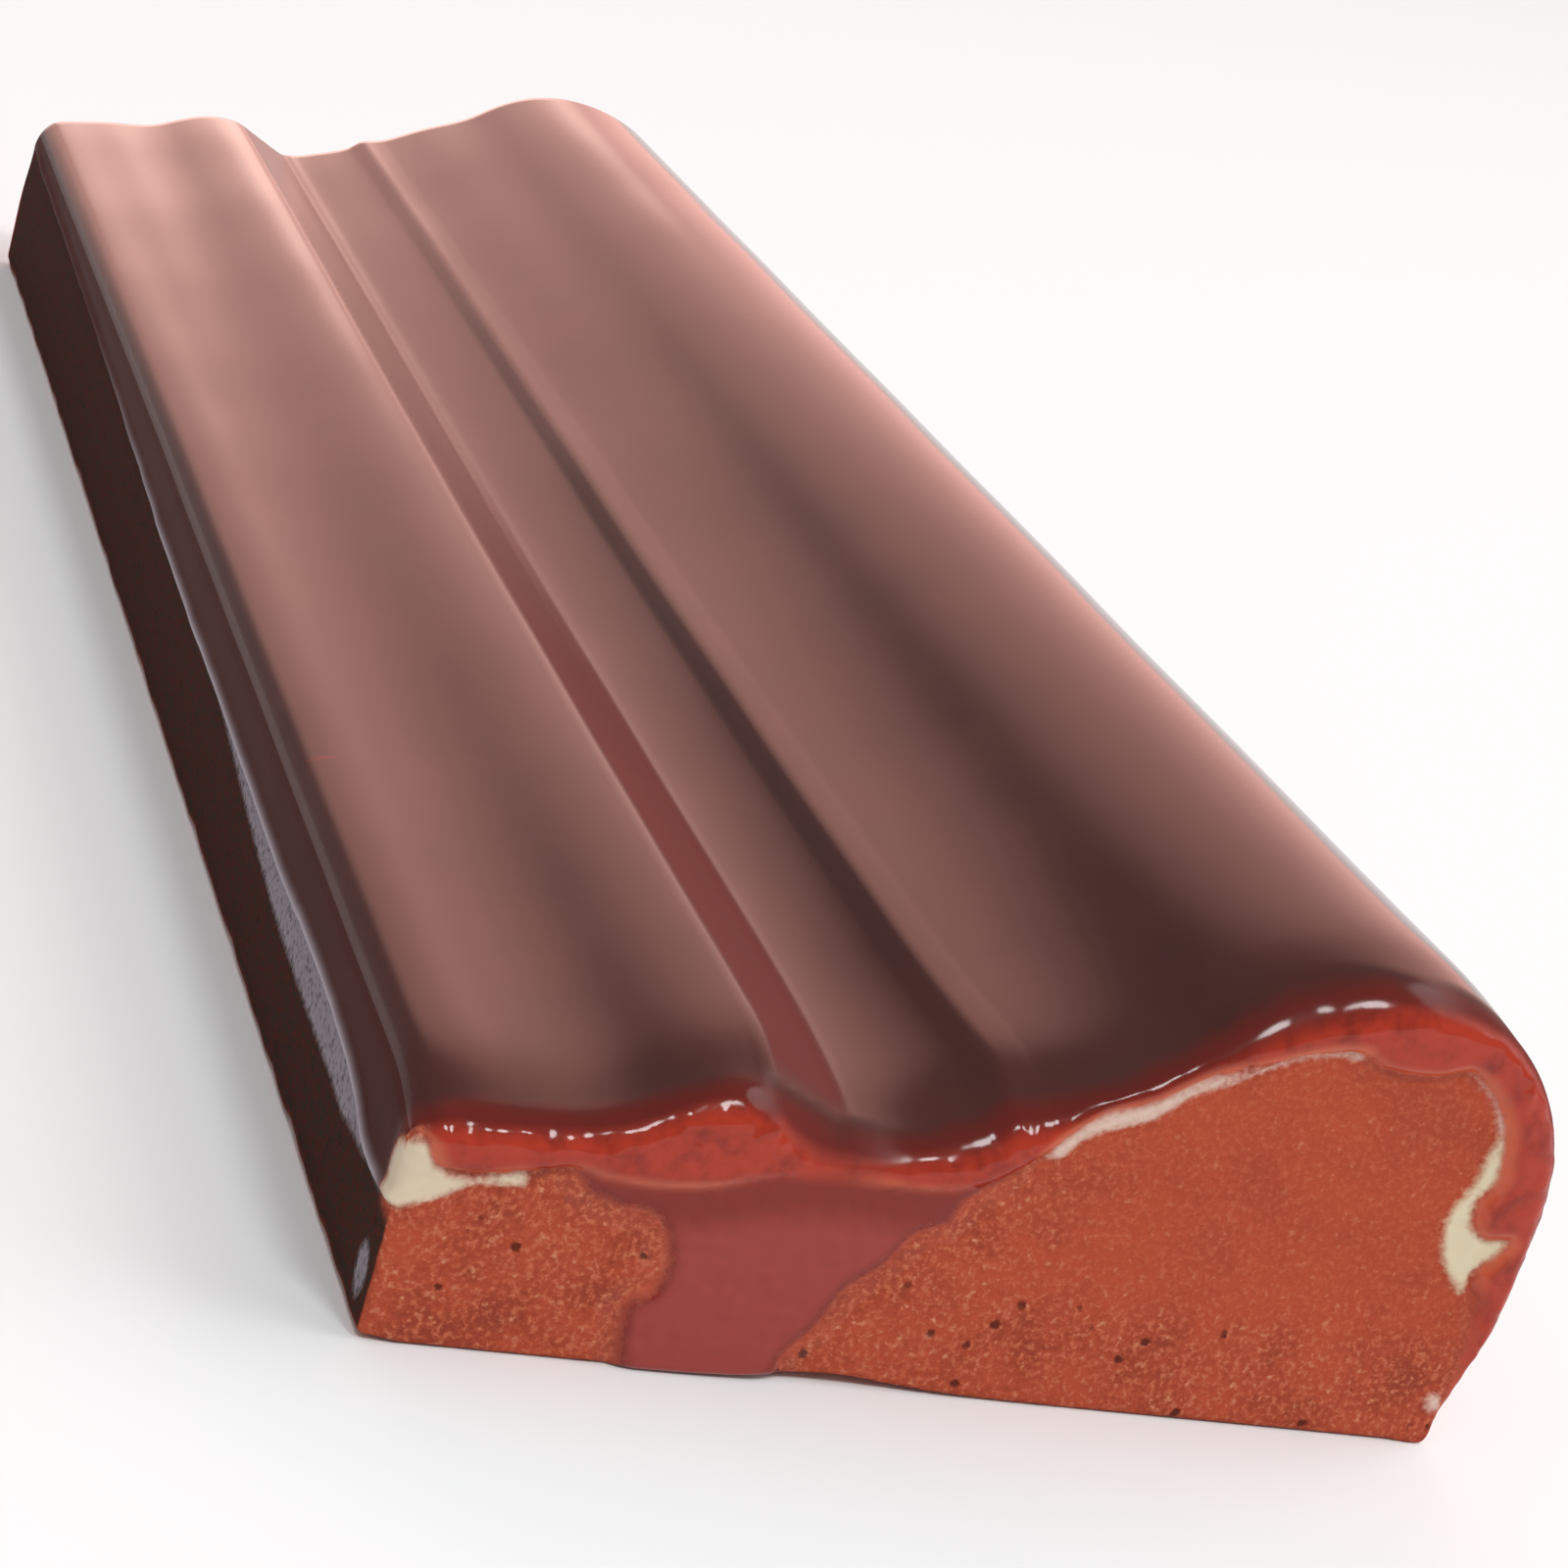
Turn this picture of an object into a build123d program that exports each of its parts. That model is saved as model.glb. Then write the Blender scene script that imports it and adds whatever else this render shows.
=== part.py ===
from build123d import *

import math
import os
from collections import namedtuple

# A chair rail molding tile: one piece of pressed terracotta, fired and glazed, lying on its flat back.
# X runs across the rail from its thin lower edge to its nose, Y along it, Z from the back to the face.
# Across the face come a lip, a shallow hollow, a bead with a straight flank down to a quirk, a cove that
# climbs to an arris, a second cove and the round nose. Each stretch is tangent to the next.

# Overall size
length = 152.4
width = 50.8
thickness = 22.4

# Rounded members: how far across the width the crest stands, its height or rise, and its radius
lip_height = 12.2
lip_radius = 2.4
bead_place_share = 0.2638
bead_rise_over_lip = 2.1
bead_radius = 9.0
arris_place_share = 0.4862
arris_rise_over_bead = 0.6
arris_radius = 1.0
nose_radius = 10.4

# The bead's shoulder: how far past the crest it starts, and its radius, before the flank runs down straight
shoulder_run = 0.8
shoulder_radius = 2.0

# Hollows between the members, and how deep the lower cove's floor lies under the arris
hollow_radius = 10.7
quirk_radius = 0.6
lower_cove_radius = 7.4
lower_cove_drop = 2.7
upper_cove_radius = 15.0

# The nose stands out past the back's upper edge, and the ends are rounded where the glaze rolls over
nose_overhang = 1.0
end_round = 0.7

Round = namedtuple("Round", "center radius")


def member(offset, height, radius):
    """The circle of a member whose crest stands at this offset and height."""
    return Round(Vector(offset - width / 2, height - radius), radius)


def meeting(first, first_reach, second, second_reach):
    """The point at these distances from two centers, to the left of the way from first to second."""
    span = second - first
    along = (first_reach**2 - second_reach**2 + span.length**2) / (2 * span.length)
    beside = math.sqrt(first_reach**2 - along**2)
    across = span.normalized()
    return first + across * along + across.rotate(Axis.Z, 90) * beside


def hollow_between(left, right, radius):
    """The circle that rests in the valley between two members and is tangent to both."""
    center = meeting(left.center, left.radius + radius, right.center, right.radius + radius)
    return Round(center, radius)


def cove_beside(arris, floor, radius):
    """The circle of a cove that is level at its floor and climbs to the arris on its right."""
    center_height = floor + radius
    climb = center_height - arris.center.Y
    reach = math.sqrt((arris.radius + radius) ** 2 - climb**2)
    return Round(Vector(arris.center.X - reach, center_height), radius)


def shoulder_on(bead, run, radius):
    """The smaller circle that takes over from a bead at this run past its crest."""
    lean = math.asin(run / bead.radius)
    outward = Vector(math.sin(lean), math.cos(lean))
    return Round(bead.center + outward * (bead.radius - radius), radius)


def quirk_in(cove, radius):
    """The small circle that rests in a cove at its lowest point."""
    return Round(cove.center - Vector(0, cove.radius - radius), radius)


def flank_between(shoulder, quirk):
    """The ends of the straight run that leaves a shoulder's top and passes under a quirk's circle."""
    span = quirk.center - shoulder.center
    lean = math.asin((shoulder.radius + quirk.radius) / span.length)
    outward = span.normalized().rotate(Axis.Z, 90 - math.degrees(lean))
    return shoulder.center + outward * shoulder.radius, quirk.center - outward * quirk.radius


def touch(circle, other):
    """The point of a circle where the other one is tangent to it."""
    return circle.center + (other.center - circle.center).normalized() * circle.radius


def arc_on(circle, start, end):
    """The short arc of a circle from one of its points to another."""
    middle = (start + end) / 2 - circle.center
    return ThreePointArc(start, circle.center + middle.normalized() * circle.radius, end)


def arcs_through(circles, joins):
    """Arcs of these circles one after the other, each from one join to the next."""
    for circle, start, end in zip(circles, joins[:-1], joins[1:]):
        arc_on(circle, start, end)


def molding_section():
    """The section across the rail, drawn from the lower edge over the face to the nose."""
    bead_height = lip_height + bead_rise_over_lip
    arris_height = bead_height + arris_rise_over_bead
    lip = member(lip_radius, lip_height, lip_radius)
    bead = member(width * bead_place_share, bead_height, bead_radius)
    arris = member(width * arris_place_share, arris_height, arris_radius)
    nose = member(width - nose_radius, thickness, nose_radius)
    hollow = hollow_between(lip, bead, hollow_radius)
    lower_cove = cove_beside(arris, arris_height - lower_cove_drop, lower_cove_radius)
    shoulder = shoulder_on(bead, shoulder_run, shoulder_radius)
    quirk = quirk_in(lower_cove, quirk_radius)
    upper_cove = hollow_between(arris, nose, upper_cove_radius)
    lower_corner = Vector(-width / 2, 0)
    upper_corner = Vector(width / 2 - nose_overhang, 0)
    lip_side = lip.center - Vector(lip.radius, 0)
    nose_side = nose.center + Vector(nose.radius, 0)
    flank_top, flank_foot = flank_between(shoulder, quirk)
    lower_joins = [
        lip_side,
        touch(lip, hollow),
        touch(bead, hollow),
        touch(bead, shoulder),
        flank_top,
    ]
    upper_joins = [
        flank_foot,
        touch(lower_cove, quirk),
        touch(arris, lower_cove),
        touch(arris, upper_cove),
        touch(nose, upper_cove),
        nose_side,
    ]
    with BuildSketch(Plane.XZ.offset(length / 2)) as section:
        with BuildLine():
            Line(lower_corner, lip_side)
            arcs_through([lip, hollow, bead, shoulder], lower_joins)
            Line(flank_top, flank_foot)
            arcs_through([quirk, lower_cove, arris, upper_cove, nose], upper_joins)
            TangentArc(nose_side, upper_corner, tangent=(0, -1))
            Line(upper_corner, lower_corner)
        make_face()
    return section.sketch


def molding_tile():
    """The section carried along the rail, with the glazed edges of both ends rounded over."""
    rail = extrude(molding_section(), amount=length, dir=(0, 1, 0))
    faces_along = rail.faces().sort_by(Axis.Y)
    glazed_edges = []
    for end in (faces_along[0], faces_along[-1]):
        glazed_edges += end.edges().sort_by(Axis.Z)[1:]
    return fillet(glazed_edges, end_round)


os.makedirs("parts", exist_ok=True)
export_step(molding_tile(), "parts/molding_tile.step")
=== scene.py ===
import math

import bmesh
import bpy
import numpy as np
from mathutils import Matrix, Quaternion, Vector, noise
from mathutils.geometry import delaunay_2d_cdt


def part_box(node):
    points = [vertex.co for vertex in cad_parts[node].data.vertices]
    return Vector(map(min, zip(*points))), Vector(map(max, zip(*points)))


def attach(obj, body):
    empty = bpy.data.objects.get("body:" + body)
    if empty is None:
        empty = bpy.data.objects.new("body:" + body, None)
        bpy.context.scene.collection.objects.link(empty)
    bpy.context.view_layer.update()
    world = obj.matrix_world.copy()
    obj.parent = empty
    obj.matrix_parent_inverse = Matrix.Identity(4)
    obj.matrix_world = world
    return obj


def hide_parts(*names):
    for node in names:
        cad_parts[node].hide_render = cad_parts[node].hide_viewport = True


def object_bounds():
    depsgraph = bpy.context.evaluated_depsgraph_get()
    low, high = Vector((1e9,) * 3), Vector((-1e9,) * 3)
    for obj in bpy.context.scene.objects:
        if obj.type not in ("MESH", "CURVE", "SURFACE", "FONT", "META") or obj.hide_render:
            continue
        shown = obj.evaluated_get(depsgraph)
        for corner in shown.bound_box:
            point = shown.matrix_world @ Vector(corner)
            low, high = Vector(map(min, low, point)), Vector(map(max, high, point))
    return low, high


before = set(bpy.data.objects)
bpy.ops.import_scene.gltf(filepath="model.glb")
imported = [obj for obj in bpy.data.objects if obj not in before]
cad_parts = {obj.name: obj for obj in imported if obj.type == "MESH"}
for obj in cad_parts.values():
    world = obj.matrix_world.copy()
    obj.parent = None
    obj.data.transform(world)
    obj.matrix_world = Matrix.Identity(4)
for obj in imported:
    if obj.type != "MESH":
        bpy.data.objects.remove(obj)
CAD_LOW, CAD_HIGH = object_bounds()

# The tile lies on its back. Shapes are worked out in millimetres from the lower corner of the photographed
# end: across from the thin lower edge to the nose, along the rail from that end, and up from the back.
# Pairs whose names end in STARTS, ENDS, FADES or HEIGHTS are where a smooth step begins and is complete.
# Pairs whose names end in NOISE are the size and seed of a noise.
MM = 0.001
NODE = "molding_tile"
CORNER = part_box(NODE)[0] / MM
WIDTH, LENGTH, THICKNESS = (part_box(NODE)[1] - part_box(NODE)[0]) / MM

# The photograph's camera, in millimetres of the frame, degrees and photograph pixels
PHOTO_SIZE = 1600
FOCAL_PIXELS = 3629.4
SENSOR_WIDTH = 36.0
CAMERA_PLACE = Vector((-64.61, -194.02, 71.45))
CAMERA_AZIMUTH = 22.87
CAMERA_DIP = 19.42
CAMERA_ROLL = 17.3
CLIP_START = 0.01

# Mesh spacing
FACE_STEP = 0.28
WALL_STEP = 0.14
BACK_STEP = 0.6
NEAR_CAP_STEP = 0.26
FAR_CAP_STEP = 0.42
FIRST_STATION_STEP = 0.35
LAST_STATION_STEP = 2.2
STATION_GROWTH = 1.07
ROUNDING_STATIONS = 9
TABLE_STEP = 0.25
# Points of the CAD outline that are closer than this are one, and longer straight stretches are divided
SAME_POINT = 0.001
LONGEST_STRAIGHT = 2.2
# The section's points are as close as the walls' between these heights and on its crisp stretches across, the
# first of which is the left wall itself. Elsewhere it is smoothed this often, from this height and, this much
# higher, in full. Its back corners are smoothed less often
CLOSE_LOW = 1.0
CLOSE_HIGH = 10.5
CRISP_STRETCHES = ((-1.0, 1.0), (13.6, 19.8), (23.2, 25.8))
FACE_SMOOTHING = 80
SMOOTH_FROM_HEIGHT = 3.0
SMOOTH_RISE = 3.0
CORNER_SMOOTHING = 2
# How far around the section its softer outward directions reach
SOFT_REACH = 3.0
# How far a cap's inner points keep from its rim, as a share of their spacing
RIM_GAP_SHARE = 0.6
CAP_TOLERANCE = 1e-5
CHUNK = 2000

# How far the glaze is rounded over at each end: places across the face, and the radius there
NEAR_ROUND_PLACES = (0, 2, 15, 18, 21, 30, 36, 42, 46)
NEAR_ROUND_RADII = (0.7, 1.4, 1.5, 2.4, 1.6, 1.5, 2.6, 1.7, 1.0)
FAR_ROUND = 2.2
BARE_ROUND = 0.35
ROUND_FROM_HEIGHT = 4.5
ROUND_FULL_HEIGHT = 10.5

# Outlines on the photographed end, traced in photograph pixels
BELOW_LIP = (
    (405, 1115), (434, 1150), (446, 1190), (480, 1198), (545, 1197), (585, 1194), (621, 1205), (675, 1213),
    (730, 1213), (780, 1206), (868, 1206), (940, 1216), (985, 1216), (1028, 1203), (1065, 1182), (1097, 1160),
    (1132, 1141), (1185, 1127), (1239, 1103), (1290, 1089), (1338, 1079), (1396, 1080), (1415, 1093),
    (1442, 1099), (1472, 1101), (1501, 1096), (1520, 1111), (1533, 1135), (1537, 1160), (1533, 1191),
    (1526, 1215), (1510, 1232), (1507, 1250), (1515, 1265), (1541, 1270), (1530, 1283), (1511, 1297),
    (1506, 1330), (1500, 1365), (1487, 1405), (1473, 1445), (1470, 1600), (300, 1600), (300, 1115),
)
DRIP = (
    (585, 1190), (594, 1211), (636, 1235), (667, 1243), (679, 1268), (679, 1295), (667, 1318), (642, 1331),
    (633, 1360), (628, 1390), (640, 1450), (780, 1450), (800, 1388), (834, 1357), (865, 1319), (907, 1292),
    (938, 1262), (972, 1250), (991, 1227), (1032, 1202), (1000, 1170), (800, 1170),
)
SLIP_PATCHES = (
    ((390, 1198), (410, 1172), (438, 1168), (451, 1194), (478, 1204), (541, 1203), (542, 1209),
     (480, 1215), (460, 1224), (418, 1236), (390, 1236)),
    ((1070, 1185), (1111, 1150), (1183, 1126), (1233, 1104), (1262, 1098), (1300, 1088), (1344, 1077),
     (1369, 1073), (1396, 1078), (1395, 1085), (1369, 1082), (1330, 1087), (1290, 1099), (1255, 1113),
     (1219, 1125), (1183, 1146), (1111, 1167), (1079, 1188)),
    ((1503, 1096), (1522, 1111), (1535, 1137), (1538, 1160), (1533, 1160), (1529, 1137), (1518, 1116)),
    ((1538, 1156), (1537, 1180), (1530, 1209), (1510, 1230), (1505, 1251), (1513, 1264), (1542, 1270),
     (1529, 1284), (1506, 1301), (1493, 1327), (1481, 1307), (1473, 1287), (1474, 1266), (1484, 1236),
     (1501, 1218), (1508, 1208), (1522, 1180)),
    ((1458, 1428), (1468, 1424), (1474, 1434), (1466, 1446), (1456, 1442)),
)
SLIP_PINK_SHARES = (0.35, 0.8, 0.9, 0.1, 0.9)

# The coats on the ends: how far bare clay lies back, and how far each coat stands over it and rolls off
CLAY_RECESS = 0.35
LIP_STAND = 0.62
LIP_ROLL = 0.8
DRIP_STAND = 0.32
DRIP_ROLL = 0.9
SLIP_STAND = 0.12
SLIP_ROLL = 0.15
END_FADE = 4.0
# At the foot of the nose the lip stands less
NOSE_FOOT_HEIGHTS = (8, 1)
NOSE_FOOT_STARTS = (35, 45)
NOSE_FOOT_SHARE = 0.9
# The near rim's bumps, which are calmer on a stretch across
RIM_BUMP = 0.10
RIM_BUMP_NOISE = (0.6, 21)
RIM_BUMP_STARTS = (0.02, 0.3)
CALM_STARTS = (32, 35)
CALM_ENDS = (46, 43)
CALM_SHARE = 0.6

# The glaze's lower edge on the long walls: places along the rail, and its height there
LEFT_EDGE_PLACES = (0, 4.8, 8.7, 15, 28, 46, 66, 100, 152)
LEFT_EDGE_HEIGHTS = (6.2, 5.9, 6.8, 7.3, 7.1, 7.3, 7.4, 8.5, 9.6)
RIGHT_EDGE_PLACES = (0, 6, 18, 36, 58, 84, 110, 152)
RIGHT_EDGE_HEIGHTS = (0.4, 2.2, 4.1, 3.3, 4.6, 3.6, 5.0, 4.2)
# How ragged it is: each wave's amount, size and seed, their share on the left, and where they start on the
# right
EDGE_WAVES = ((0.5, 5.0, 7), (0.25, 1.7, 8))
LEFT_EDGE_SHARE = 0.25
RIGHT_EDGE_STARTS = (0, 8)
# How it stands over the bare wall, with a bead along it
WALL_RECESS = 0.12
WALL_RECESS_STARTS = (0.15, -0.15)
WALL_BEAD = 0.25
WALL_BEAD_WIDTH = 0.3
WALL_REACH = 3.0
RIGHT_WALL_STARTS = (0, 10)
FAR_WALL_STARTS = (0, 8)

# The slip that shows under the glaze's edge on the left wall: places along, and how far down it reaches
LEFT_SLIP_PLACES = (3, 6, 10, 18, 28, 38, 48, 60)
LEFT_SLIP_DEPTHS = (-0.4, 0.9, 2.2, 2.5, 2.1, 1.4, 0.5, -0.5)
NO_SLIP = -1
SLIP_WAVE_SHARE = 0.4

# Spots on the left wall without glaze, where slip shows: place along and up, and half their length and height
LEFT_SPOTS = ((0.5, 7.5, 1.2, 1.5), (1.9, 2.3, 1.0, 1.3))

# The far end, which the photograph hides: the coat's depth below the face
FAR_COAT = 2.4
FAR_COAT_WAVE = 0.9
FAR_COAT_NOISE = (6.0, 4)
# Each drip's place across, width and drop
FAR_DRIPS = ((14.5, 2.6, 3.0), (37.0, 3.4, 4.2))
# Points that are nearer to the back than to the face, but for this much, have no coat
BACK_MARGIN = 0.01

# Uneven pressing, by places across. Towards the near end the face shifts across, sags and, over a longer
# stretch, sinks. Towards the far end it is fuller
PRESS_PLACES = (0, 2.4, 5, 9, 12.5, 14.8, 18.5, 21, 24.7, 29, 33, 40, 50.8)
PRESS_SHIFTS = (0, 0, 0.1, 0.2, 0.1, 0, -0.6, -0.2, 0.8, 0.6, 0.4, 0.1, 0.35)
PRESS_SAGS = (0.9, 0.9, 0.6, 0.4, 0.8, 1.4, 0.4, 0.7, 1.1, 0.6, 0.6, 0.7, 0.3)
PRESS_SINKS = (0.5, 0.6, 0.8, 1.2, 0.4, 0.1, 0.1, 0.4, 0.2, 0.4, 0.3, 0, 0)
PRESS_RISES = (0, 0.1, 0.6, 0.4, 0.7, 0.7, 1.0, 1.2, 0.8, 1.4, 0.7, 0, 0)
SHIFT_REACH = 8.0
SAG_REACH = 3.0
SINK_REACH = 55.0
RISE_FROM = 40.0
FACE_WAVE = 0.05
FACE_WAVE_NOISE = (14.0, 3)
PRESSED_HEIGHTS = (2, 10)

# Damage: the back's front edge is broken away in an arch, and its lower left edge is ragged
ARCH_RISE = 0.5
ARCH_CENTER = 20.5
ARCH_WIDTH = 4.0
ARCH_REACH = 4.0
RAGGED_RISE = 0.45
RAGGED_REACH = 1.6
RAGGED_NOISE = (2.6, 11)
RAGGED_BIAS = 0.25
DAMAGE_HEIGHT = 5.0

# Where the ends and the left wall take over, and how far the drip's distance counts for the coat's
END_STARTS = (0.3, 1.5)
WALL_STARTS = (0.8, 0.97)
DRIP_COAT_SHARE = 0.35

# The bead's steep flank, where the glaze is thin and red and a painted red reflection of the cove beside it
# fades along the rail: its stretches across and along
FLANK_STARTS = (14.6, 15.0)
FLANK_ENDS = (19.2, 18.8)
FLANK_LOW = 8
FLANK_NEAR_STARTS = (1.0, 3.5)
FLANK_FADES = (25, 90)
FLANK_FAR_SHARE = 0.2

# Parts of the near rim that are satin: around the flank and on the nose, and their stretch along
SATIN_FLANK_STARTS = (13.4, 15.2)
SATIN_FLANK_ENDS = (21.5, 18.8)
SATIN_NOSE_STARTS = (40.5, 44.5)
SATIN_STARTS = (0.05, 0.5)
SATIN_ENDS = (2.6, 1.4)

# Where the glaze is thin and red, at the near rim, the far rim and the foot of the right wall, and where it
# is dark red behind the near rim
RIM_ENDS = (0.07, 0.65)
FAR_RIM_FROM = 0.2
RIGHT_RIM_ENDS = (0.5, 3.5)
BEHIND_RIM_ENDS = (1.9, 0.8)
BEHIND_RIM_WAVE = 0.35
BEHIND_RIM_NOISE = (1.5, 31)

# The left wall's painted shade, which darkens its bare clay and slip as if in shadow, and a painted highlight
# along the glaze's edge there
SIDE_STARTS = (0.8, 2.5)
SIDE_HEIGHTS = (6, 5)
RIDGE_PLACE = 0.15
RIDGE_WIDTH = 0.3
RIDGE_STARTS = (0.5, 3)
RIDGE_ENDS = (110, 60)

# The drip's colour and its darker edge, and the part of the near end where the clay is smoother
DRIP_STARTS = (-0.2, 0.3)
DRIP_ENDS = (0.3, -0.2)
DRIP_EDGE_PLACE = 0.2
DRIP_EDGE_WIDTH = 0.3
DRIP_EDGE_ENDS = (0.3, -0.6)
SMOOTH_CLAY_STARTS = (23, 33)
SMOOTH_CLAY_HEIGHTS = (3, 8)
SMOOTH_CLAY_SHARE = 0.55

# A short scratch across the lip, in millimetres of the frame
SCRATCH_PLACE = CORNER + Vector((1.5, 32.4, 11.2))
SCRATCH_SIZE = Vector((0.9, 0.3, 3.0))
SCRATCH_ENDS = (1.0, 0.5)

# A distance that stands for nowhere near
FAR_AWAY = 5.0


def smoothstep(low, high, value):
    share = np.clip((value - low) / (high - low), 0, 1)
    return share * share * (3 - 2 * share)


def mix(first, second, share):
    return first + (second - first) * share


def bell(value, center, width):
    """A bell curve, 1 at its centre."""
    return np.exp(-((value - center) / width) ** 2)


def wave(across, along, up, size, seed):
    """Smooth noise from -1 to 1 at these points, with features of this size."""
    points = np.column_stack([across, along, up]) / size
    shift = Vector((seed, 2 * seed, 3 * seed))
    return np.array([noise.noise(Vector(point) + shift) for point in points])


def smooth_path(points, step, closed=False):
    """Points about this far apart on a smooth curve through the given ones."""
    points = np.array(points, float)
    if closed:
        points = np.vstack([points[-2:], points, points[:2]])
    runs = np.diff(points, axis=0)
    lengths = np.linalg.norm(runs, axis=1)
    slopes = runs / lengths[:, None]
    before, after = lengths[:-1, None], lengths[1:, None]
    middles = (slopes[:-1] * after + slopes[1:] * before) / (before + after)
    tangents = np.vstack([slopes[:1], middles, slopes[-1:]])
    places = np.concatenate([[0], np.cumsum(lengths)])
    first, last = (places[2], places[-2]) if closed else (places[0], places[-1])
    count = max(int(round((last - first) / step)), 3)
    wanted = np.linspace(first, last, count, endpoint=not closed)
    leg = np.clip(np.searchsorted(places, wanted, side="right") - 1, 0, len(runs) - 1)
    length = lengths[leg][:, None]
    share = ((wanted - places[leg]) / lengths[leg])[:, None]
    rest = 1 - share
    starts = rest * rest * (1 + 2 * share) * points[leg]
    ends = share * share * (3 - 2 * share) * points[leg + 1]
    bends = share * rest * length * (rest * tangents[leg] - share * tangents[leg + 1])
    return starts + ends + bends


def signed_distance(points, outline):
    """How far points lie inside a closed outline, negative outside it."""
    runs = np.roll(outline, -1, axis=0) - outline
    result = np.empty(len(points))
    for first in range(0, len(points), CHUNK):
        offsets = points[first:first + CHUNK, None] - outline[None]
        shares = np.clip((offsets * runs).sum(2) / (runs * runs).sum(1), 0, 1)
        gaps = np.linalg.norm(offsets - shares[..., None] * runs, axis=2).min(1)
        starts_above = offsets[..., 1] < 0
        crosses = starts_above != np.roll(starts_above, -1, axis=1)
        rises = np.where(runs[:, 1] == 0, 1, runs[:, 1])
        beyond = offsets[..., 0] < offsets[..., 1] / rises * runs[:, 0]
        inside = (crosses & beyond).sum(1) % 2 == 1
        result[first:first + CHUNK] = np.where(inside, gaps, -gaps)
    return result


def camera_turn():
    """How the photograph's camera is turned."""
    azimuth = math.radians(CAMERA_AZIMUTH)
    dip = math.radians(CAMERA_DIP)
    level = math.cos(dip)
    forward = Vector((math.sin(azimuth) * level, math.cos(azimuth) * level, -math.sin(dip)))
    return forward.to_track_quat("-Z", "Y") @ Quaternion((0, 0, 1), math.radians(CAMERA_ROLL))


def on_near_end(pixels):
    """Where photograph pixels fall on the near end, across and up."""
    turn = camera_turn()
    places = []
    for column, row in pixels:
        ray = turn @ Vector((column - PHOTO_SIZE / 2, PHOTO_SIZE / 2 - row, -FOCAL_PIXELS))
        place = CAMERA_PLACE + ray * ((CORNER.y - CAMERA_PLACE.y) / ray.y) - CORNER
        places.append((place.x, place.z))
    return places


def near_outline(pixels):
    """A smooth closed outline on the near end, across and up."""
    return smooth_path(on_near_end(pixels), NEAR_CAP_STEP, closed=True)


def cad_section():
    """The CAD solid's outline half way along, from its lower back corner over the face, across and up."""
    cut = bmesh.new()
    cut.from_mesh(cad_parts[NODE].data)
    bmesh.ops.remove_doubles(cut, verts=cut.verts, dist=SAME_POINT * MM)
    everything = cut.verts[:] + cut.edges[:] + cut.faces[:]
    middle = (CORNER + Vector((0, LENGTH / 2, 0))) * MM
    bmesh.ops.bisect_plane(
        cut, geom=everything, plane_co=middle, plane_no=(0, 1, 0), clear_inner=True, clear_outer=True
    )
    corner = CORNER * MM
    here = min(cut.verts, key=lambda vert: (vert.co.x - corner.x) ** 2 + (vert.co.z - corner.z) ** 2)
    edge = max(here.link_edges, key=lambda link: link.other_vert(here).co.z)
    walked = [here]
    while edge.other_vert(walked[-1]) != walked[0]:
        walked.append(edge.other_vert(walked[-1]))
        edge = next(link for link in walked[-1].link_edges if link != edge)
    outline = np.array([(vert.co.x - corner.x, vert.co.z - corner.z) for vert in walked]) / MM
    cut.free()
    return outline


def divided(points, longest):
    """The same open run of points, with long straight stretches divided."""
    result = [points[0]]
    for start, end in zip(points[:-1], points[1:]):
        pieces = max(int(math.ceil(np.linalg.norm(end - start) / longest)), 1)
        for piece in range(1, pieces + 1):
            result.append(start + (end - start) * piece / pieces)
    return np.array(result)


def section_ring():
    """The section as one closed ring of points, with each point's outward direction and a softer one."""
    outline = cad_section()
    face = smooth_path(divided(outline, LONGEST_STRAIGHT), WALL_STEP)
    crisp = (face[:, 1] < CLOSE_HIGH) & (face[:, 1] > CLOSE_LOW)
    gentle = np.clip((face[:, 1] - SMOOTH_FROM_HEIGHT) / SMOOTH_RISE, 0, 1)
    for low, high in CRISP_STRETCHES:
        beside = np.maximum(low - face[:, 0], face[:, 0] - high)
        crisp |= (beside < 0) & (low > 0)
        gentle = np.minimum(gentle, np.clip(beside, 0, 1))
    for turn in range(FACE_SMOOTHING):
        middle = (face[:-2] + face[2:]) / 2
        face[1:-1] += (middle - face[1:-1]) * gentle[1:-1, None] / 2
    apart = int(round(FACE_STEP / WALL_STEP))
    face = face[crisp | (np.arange(len(face)) % apart == 0)]
    back = divided(np.array([outline[-1], outline[0]]), BACK_STEP)[1:-1]
    ring = np.vstack([face, back])
    for turn in range(CORNER_SMOOTHING):
        middle = (np.roll(ring, 1, axis=0) + np.roll(ring, -1, axis=0)) / 2
        corners = [0, 1, len(ring) - 1, len(face) - 2, len(face) - 1, len(face) % len(ring)]
        ring[corners] = (ring[corners] + middle[corners]) / 2
    around = np.roll(ring, -1, axis=0) - np.roll(ring, 1, axis=0)
    around /= np.linalg.norm(around, axis=1)[:, None]
    outward = np.column_stack([-around[:, 1], around[:, 0]])
    reach = int(round(SOFT_REACH / FACE_STEP))
    weights = np.hanning(2 * reach + 3)[1:-1]
    soft = sum(np.roll(outward, shift - reach, axis=0) * weight for shift, weight in enumerate(weights))
    soft /= np.linalg.norm(soft, axis=1)[:, None]
    return ring, outward, soft


def end_radii(ring):
    """How far the rounding reaches in from the near end and from the far end, at each point of the ring."""
    raised = smoothstep(ROUND_FROM_HEIGHT, ROUND_FULL_HEIGHT, ring[:, 1])
    near = mix(BARE_ROUND, np.interp(ring[:, 0], NEAR_ROUND_PLACES, NEAR_ROUND_RADII), raised)
    far = mix(BARE_ROUND, FAR_ROUND, raised)
    return near, far


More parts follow.
